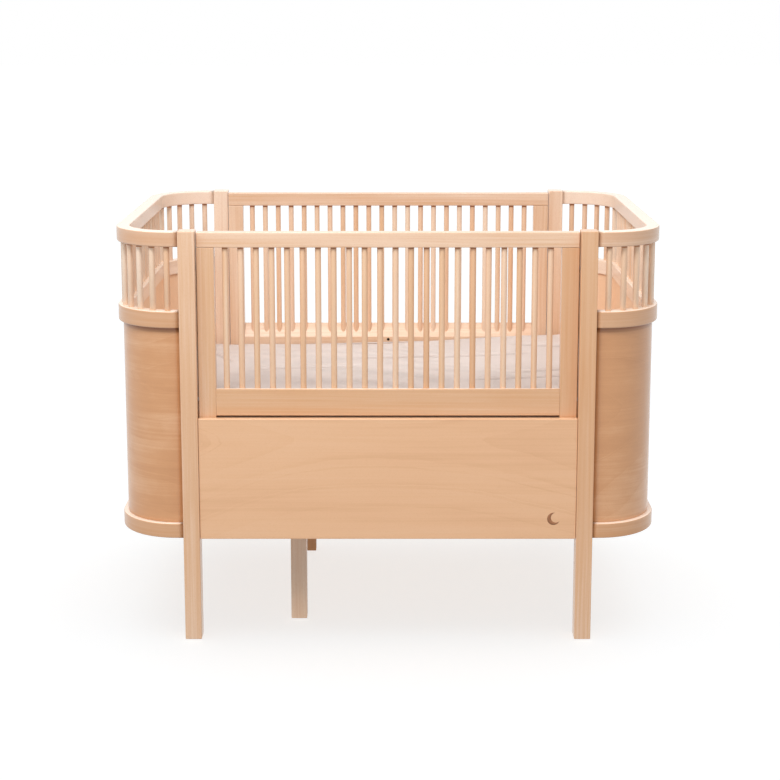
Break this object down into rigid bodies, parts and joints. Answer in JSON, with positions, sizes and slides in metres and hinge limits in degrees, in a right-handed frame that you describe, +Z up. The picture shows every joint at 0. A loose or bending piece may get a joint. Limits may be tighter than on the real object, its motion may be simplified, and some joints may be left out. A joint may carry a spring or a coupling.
{
  "type": "baby crib",
  "caption": "Wooden baby crib with rounded ends, dowel slats, plywood lower walls, a fitted mattress and a front side that slides down behind the front panel.",
  "frame": {"origin": "centre of the bounding box on the floor", "axes": "+X along the crib to the right as seen from the drop side, +Y from the drop side to the rear side, +Z up"},
  "size_m": [1.154, 0.774, 0.88],
  "materials": {
    "beech": "clear matt lacquer on solid beech",
    "beech_ply": "clear matt lacquer on beech veneer",
    "board_ply": "bare birch plywood",
    "pin_steel": "turned",
    "mattress_cover": "matt woven cotton"
  },
  "bodies": {
    "frame": {"post_front_left": "beech", "post_front_right": "beech", "post_rear_left": "beech", "post_rear_right": "beech", "end_top_rail_left": "beech", "end_mid_rail_left": "beech", "end_bottom_rail_left": "beech", "end_top_rail_right": "beech", "end_mid_rail_right": "beech", "end_bottom_rail_right": "beech", "rear_top_rail": "beech", "rear_bottom_rail": "beech", "rear_stile_left": "beech", "rear_stile_right": "beech", "base_bearer_front": "beech", "base_bearer_rear": "beech", "support_front_left": "beech", "support_front_right": "beech", "support_rear_left": "beech", "support_rear_right": "beech", "middle_leg_front": "beech", "middle_leg_rear": "beech", "middle_beam": "beech", "end_panel_left": "beech_ply", "end_panel_right": "beech_ply", "front_panel": "beech_ply", "rear_panel": "beech_ply", "base_board": "board_ply", "mattress": "mattress_cover"},
    "gate": {"gate_top_rail": "beech", "gate_bottom_rail": "beech", "gate_stile_left": "beech", "gate_stile_right": "beech", "gate_slat_01": "beech", "gate_slat_02": "beech", "gate_slat_03": "beech", "gate_slat_04": "beech", "gate_slat_05": "beech", "gate_slat_06": "beech", "gate_slat_07": "beech", "gate_slat_08": "beech", "gate_slat_09": "beech", "gate_slat_10": "beech", "gate_slat_11": "beech", "gate_slat_12": "beech", "gate_slat_13": "beech", "gate_slat_14": "beech", "gate_slat_15": "beech", "gate_slat_16": "beech", "gate_slat_17": "beech", "gate_slat_18": "beech", "gate_slat_19": "beech", "gate_slat_20": "beech", "gate_slat_21": "beech", "gate_slat_22": "beech", "gate_pin_lower_left": "pin_steel", "gate_pin_lower_right": "pin_steel", "gate_pin_upper_left": "pin_steel", "gate_pin_upper_right": "pin_steel"}
  },
  "joints": [
    {"name": "gate_drop", "type": "slide", "parent": "frame", "child": "gate", "axis": [0, 0, -1], "range_m": [0, 0.2]}
  ]
}
